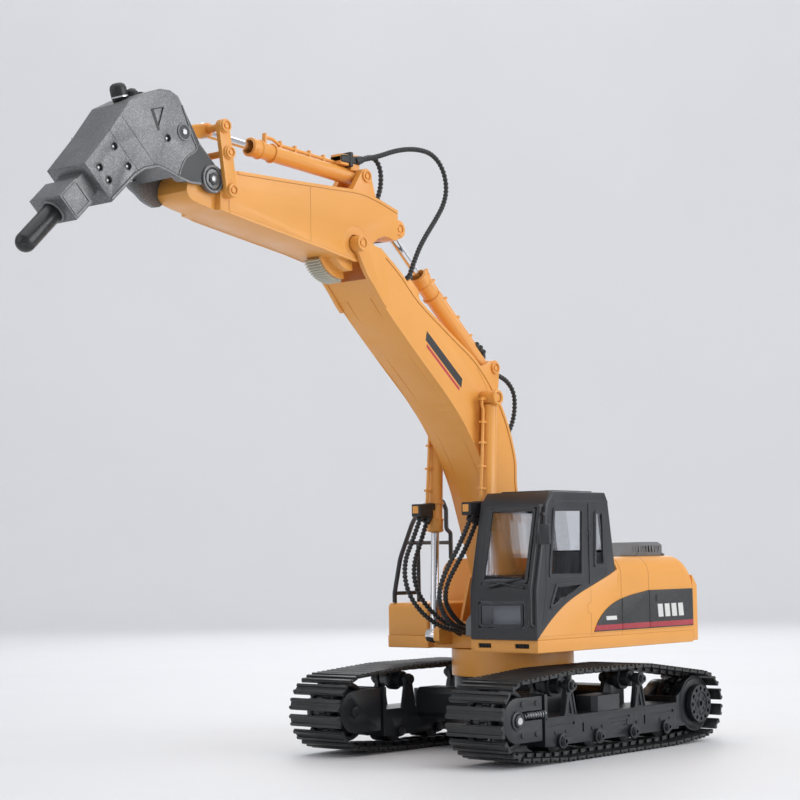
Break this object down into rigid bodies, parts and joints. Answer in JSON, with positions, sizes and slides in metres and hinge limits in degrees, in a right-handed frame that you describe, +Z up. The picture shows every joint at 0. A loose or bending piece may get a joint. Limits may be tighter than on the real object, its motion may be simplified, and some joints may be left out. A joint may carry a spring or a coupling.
{
  "type": "remote control tracked excavator with hydraulic breaker",
  "caption": "Toy-scale radio-controlled crawler excavator with orange body, black cab and undercarriage, raised boom and arm, and a grey breaker with a blunt chisel.",
  "frame": {"origin": "on the ground plane, on the slewing axis of the house", "axes": "+X forwards along the boom, +Y to the machine's left (cab side), +Z up"},
  "size_m": [0.5835, 0.192, 0.433],
  "materials": {
    "orange_plastic": "satin moulded ABS",
    "black_plastic": "satin moulded ABS",
    "frame_plastic": "fine matte moulded ABS",
    "track_rubber": "semi-matte moulded shoes",
    "grey_plastic": "matte",
    "seat_plastic": "matte",
    "clear_window": "clear polycarbonate",
    "rod_steel": "polished",
    "spring_steel": "bright wire",
    "cast_grey": "moulded in silver grey with metallic flake",
    "gear_plastic": "off-white nylon",
    "hose_rubber": "matte ribbed",
    "chisel_rubber": "smooth soft-tip",
    "inner_parts": "matte"
  },
  "bodies": {
    "undercarriage": {"chassis": "frame_plastic", "slew_pedestal": "orange_plastic", "track_left": "track_rubber", "track_right": "track_rubber", "track_frame_left": "frame_plastic", "track_frame_right": "frame_plastic", "final_drives": "frame_plastic", "track_springs": "spring_steel"},
    "house": {"deck": "orange_plastic", "engine_cover": "orange_plastic", "counterweight": "orange_plastic", "side_cover": "orange_plastic", "side_trim": "black_plastic", "engine_hood": "grey_plastic", "side_box": "orange_plastic", "boom_bracket": "orange_plastic", "cab_shell": "black_plastic", "cab_glass": "clear_window", "cab_seat": "seat_plastic", "cab_trim": "black_plastic", "handrail": "black_plastic", "electronics": "inner_parts", "hose_right_outer": "hose_rubber", "hose_right_inner": "hose_rubber", "hose_left_outer": "hose_rubber", "hose_left_inner": "hose_rubber"},
    "boom": {"boom_shell": "orange_plastic", "hose_back": "hose_rubber", "hose_elbow": "hose_rubber"},
    "boom_ram_tubes": {"boom_ram_barrels": "orange_plastic"},
    "boom_ram_pistons": {"boom_ram_rods": "rod_steel"},
    "arm": {"arm_shell": "orange_plastic", "elbow_gear": "gear_plastic", "hose_tail": "hose_rubber"},
    "stick_ram_tube": {"stick_ram_barrel": "orange_plastic"},
    "stick_ram_piston": {"stick_ram_rod": "rod_steel"},
    "bucket_ram_tube": {"bucket_ram_barrel": "orange_plastic"},
    "bucket_ram_piston": {"bucket_ram_rod": "rod_steel"},
    "guide_links": {"guide_links": "orange_plastic"},
    "power_link": {"power_link": "orange_plastic"},
    "breaker": {"breaker_housing": "cast_grey"},
    "chisel": {"chisel": "chisel_rubber"},
    "sprocket_left": {"sprocket_left": "frame_plastic"},
    "yoke_left": {"idler_yoke_left": "frame_plastic"},
    "idler_left": {"idler_left": "frame_plastic"},
    "roller_1_left": {"roller_1_left": "frame_plastic"},
    "roller_2_left": {"roller_2_left": "frame_plastic"},
    "roller_3_left": {"roller_3_left": "frame_plastic"},
    "roller_4_left": {"roller_4_left": "frame_plastic"},
    "carrier_1_left": {"carrier_1_left": "frame_plastic"},
    "carrier_2_left": {"carrier_2_left": "frame_plastic"},
    "sprocket_right": {"sprocket_right": "frame_plastic"},
    "yoke_right": {"idler_yoke_right": "frame_plastic"},
    "idler_right": {"idler_right": "frame_plastic"},
    "roller_1_right": {"roller_1_right": "frame_plastic"},
    "roller_2_right": {"roller_2_right": "frame_plastic"},
    "roller_3_right": {"roller_3_right": "frame_plastic"},
    "roller_4_right": {"roller_4_right": "frame_plastic"},
    "carrier_1_right": {"carrier_1_right": "frame_plastic"},
    "carrier_2_right": {"carrier_2_right": "frame_plastic"}
  },
  "joints": [
    {"name": "house_slew", "type": "hinge", "parent": "undercarriage", "child": "house", "pos_m": [0, 0, 0.073], "axis": [0, 0, 1], "continuous": true},
    {"name": "boom_hinge", "type": "hinge", "parent": "house", "child": "boom", "pos_m": [0.0005, -0.0092, 0.119], "axis": [0, -1, 0], "range_deg": [-36, 5], "deforming": ["hose_right_outer", "hose_right_inner", "hose_left_outer", "hose_left_inner"]},
    {"name": "boom_ram_tube_hinge", "type": "hinge", "parent": "boom", "child": "boom_ram_tubes", "pos_m": [0.0421, -0.0092, 0.2537], "axis": [0, -1, 0], "range_deg": [-2, 8]},
    {"name": "boom_ram_rod_hinge", "type": "hinge", "parent": "house", "child": "boom_ram_pistons", "pos_m": [0.0492, -0.0092, 0.0826], "axis": [0, -1, 0], "range_deg": [-32, 5]},
    {"name": "arm_hinge", "type": "hinge", "parent": "boom", "child": "arm", "pos_m": [0.1773, -0.0092, 0.352], "axis": [0, -1, 0], "range_deg": [-36, 2], "deforming": ["hose_elbow", "hose_back"]},
    {"name": "stick_ram_tube_hinge", "type": "hinge", "parent": "boom", "child": "stick_ram_tube", "pos_m": [0.0186, -0.0092, 0.278], "axis": [0, -1, 0], "range_deg": [-1, 5]},
    {"name": "stick_ram_rod_hinge", "type": "hinge", "parent": "arm", "child": "stick_ram_piston", "pos_m": [0.124, -0.0092, 0.3691], "axis": [0, -1, 0], "range_deg": [-4, 42]},
    {"name": "breaker_hinge", "type": "hinge", "parent": "arm", "child": "breaker", "pos_m": [0.3098, -0.0092, 0.3781], "axis": [0, -1, 0], "range_deg": [-55, 8], "deforming": ["hose_tail"]},
    {"name": "guide_link_hinge", "type": "hinge", "parent": "arm", "child": "guide_links", "pos_m": [0.2977, -0.0092, 0.3718], "axis": [0, -1, 0], "range_deg": [-42, 8]},
    {"name": "power_link_hinge", "type": "hinge", "parent": "guide_links", "child": "power_link", "pos_m": [0.3043, -0.0092, 0.412], "axis": [0, -1, 0], "range_deg": [-3, 3]},
    {"name": "bucket_ram_tube_hinge", "type": "hinge", "parent": "arm", "child": "bucket_ram_tube", "pos_m": [0.1579, -0.0092, 0.4022], "axis": [0, -1, 0], "range_deg": [-6, 3]},
    {"name": "bucket_ram_rod_hinge", "type": "hinge", "parent": "guide_links", "child": "bucket_ram_piston", "pos_m": [0.3043, -0.0092, 0.412], "axis": [0, -1, 0], "range_deg": [-8, 38]},
    {"name": "chisel_slide", "type": "slide", "parent": "breaker", "child": "chisel", "axis": [0.7071, 0, -0.7071], "range_m": [-0.004, 0]},
    {"name": "sprocket_left_spin", "type": "hinge", "parent": "undercarriage", "child": "sprocket_left", "pos_m": [-0.11, 0.07225, 0.0275], "axis": [0, 1, 0], "continuous": true},
    {"name": "yoke_left_slide", "type": "slide", "parent": "undercarriage", "child": "yoke_left", "axis": [1, 0, 0], "range_m": [-0.003, 0], "stiffness_N_per_m": 1500},
    {"name": "idler_left_spin", "type": "hinge", "parent": "yoke_left", "child": "idler_left", "pos_m": [0.112, 0.07225, 0.0305], "axis": [0, 1, 0], "continuous": true},
    {"name": "roller_1_left_spin", "type": "hinge", "parent": "undercarriage", "child": "roller_1_left", "pos_m": [0.062, 0.07225, 0.0134], "axis": [0, 1, 0], "continuous": true},
    {"name": "roller_2_left_spin", "type": "hinge", "parent": "undercarriage", "child": "roller_2_left", "pos_m": [0.0189, 0.07225, 0.0134], "axis": [0, 1, 0], "continuous": true},
    {"name": "roller_3_left_spin", "type": "hinge", "parent": "undercarriage", "child": "roller_3_left", "pos_m": [-0.0239, 0.07225, 0.0134], "axis": [0, 1, 0], "continuous": true},
    {"name": "roller_4_left_spin", "type": "hinge", "parent": "undercarriage", "child": "roller_4_left", "pos_m": [-0.0664, 0.07225, 0.0134], "axis": [0, 1, 0], "continuous": true},
    {"name": "carrier_1_left_spin", "type": "hinge", "parent": "undercarriage", "child": "carrier_1_left", "pos_m": [0.0513, 0.07225, 0.0502], "axis": [0, 1, 0], "continuous": true},
    {"name": "carrier_2_left_spin", "type": "hinge", "parent": "undercarriage", "child": "carrier_2_left", "pos_m": [-0.0339, 0.07225, 0.0502], "axis": [0, 1, 0], "continuous": true},
    {"name": "sprocket_right_spin", "type": "hinge", "parent": "undercarriage", "child": "sprocket_right", "pos_m": [-0.11, -0.07225, 0.0275], "axis": [0, 1, 0], "continuous": true},
    {"name": "yoke_right_slide", "type": "slide", "parent": "undercarriage", "child": "yoke_right", "axis": [1, 0, 0], "range_m": [-0.003, 0], "stiffness_N_per_m": 1500},
    {"name": "idler_right_spin", "type": "hinge", "parent": "yoke_right", "child": "idler_right", "pos_m": [0.112, -0.07225, 0.0305], "axis": [0, 1, 0], "continuous": true},
    {"name": "roller_1_right_spin", "type": "hinge", "parent": "undercarriage", "child": "roller_1_right", "pos_m": [0.062, -0.07225, 0.0134], "axis": [0, 1, 0], "continuous": true},
    {"name": "roller_2_right_spin", "type": "hinge", "parent": "undercarriage", "child": "roller_2_right", "pos_m": [0.0189, -0.07225, 0.0134], "axis": [0, 1, 0], "continuous": true},
    {"name": "roller_3_right_spin", "type": "hinge", "parent": "undercarriage", "child": "roller_3_right", "pos_m": [-0.0239, -0.07225, 0.0134], "axis": [0, 1, 0], "continuous": true},
    {"name": "roller_4_right_spin", "type": "hinge", "parent": "undercarriage", "child": "roller_4_right", "pos_m": [-0.0664, -0.07225, 0.0134], "axis": [0, 1, 0], "continuous": true},
    {"name": "carrier_1_right_spin", "type": "hinge", "parent": "undercarriage", "child": "carrier_1_right", "pos_m": [0.0513, -0.07225, 0.0502], "axis": [0, 1, 0], "continuous": true},
    {"name": "carrier_2_right_spin", "type": "hinge", "parent": "undercarriage", "child": "carrier_2_right", "pos_m": [-0.0339, -0.07225, 0.0502], "axis": [0, 1, 0], "continuous": true}
  ],
  "couplings": [
    {"joint": "boom_ram_tube_hinge", "follows": "boom_hinge", "ratio": -0.172},
    {"joint": "boom_ram_rod_hinge", "follows": "boom_hinge", "ratio": 0.828},
    {"joint": "stick_ram_tube_hinge", "follows": "arm_hinge", "ratio": -0.09},
    {"joint": "stick_ram_rod_hinge", "follows": "arm_hinge", "ratio": -1.09},
    {"joint": "guide_link_hinge", "follows": "breaker_hinge", "ratio": 0.72},
    {"joint": "power_link_hinge", "follows": "breaker_hinge", "ratio": 0.02},
    {"joint": "bucket_ram_tube_hinge", "follows": "breaker_hinge", "ratio": 0.085},
    {"joint": "bucket_ram_rod_hinge", "follows": "breaker_hinge", "ratio": -0.635},
    {"joint": "idler_left_spin", "follows": "sprocket_left_spin", "ratio": 0.8899},
    {"joint": "roller_1_left_spin", "follows": "sprocket_left_spin", "ratio": 2.3659},
    {"joint": "roller_2_left_spin", "follows": "sprocket_left_spin", "ratio": 2.3659},
    {"joint": "roller_3_left_spin", "follows": "sprocket_left_spin", "ratio": 2.3659},
    {"joint": "roller_4_left_spin", "follows": "sprocket_left_spin", "ratio": 2.3659},
    {"joint": "carrier_1_left_spin", "follows": "sprocket_left_spin", "ratio": 3.129},
    {"joint": "carrier_2_left_spin", "follows": "sprocket_left_spin", "ratio": 3.129},
    {"joint": "idler_right_spin", "follows": "sprocket_right_spin", "ratio": 0.8899},
    {"joint": "roller_1_right_spin", "follows": "sprocket_right_spin", "ratio": 2.3659},
    {"joint": "roller_2_right_spin", "follows": "sprocket_right_spin", "ratio": 2.3659},
    {"joint": "roller_3_right_spin", "follows": "sprocket_right_spin", "ratio": 2.3659},
    {"joint": "roller_4_right_spin", "follows": "sprocket_right_spin", "ratio": 2.3659},
    {"joint": "carrier_1_right_spin", "follows": "sprocket_right_spin", "ratio": 3.129},
    {"joint": "carrier_2_right_spin", "follows": "sprocket_right_spin", "ratio": 3.129}
  ]
}
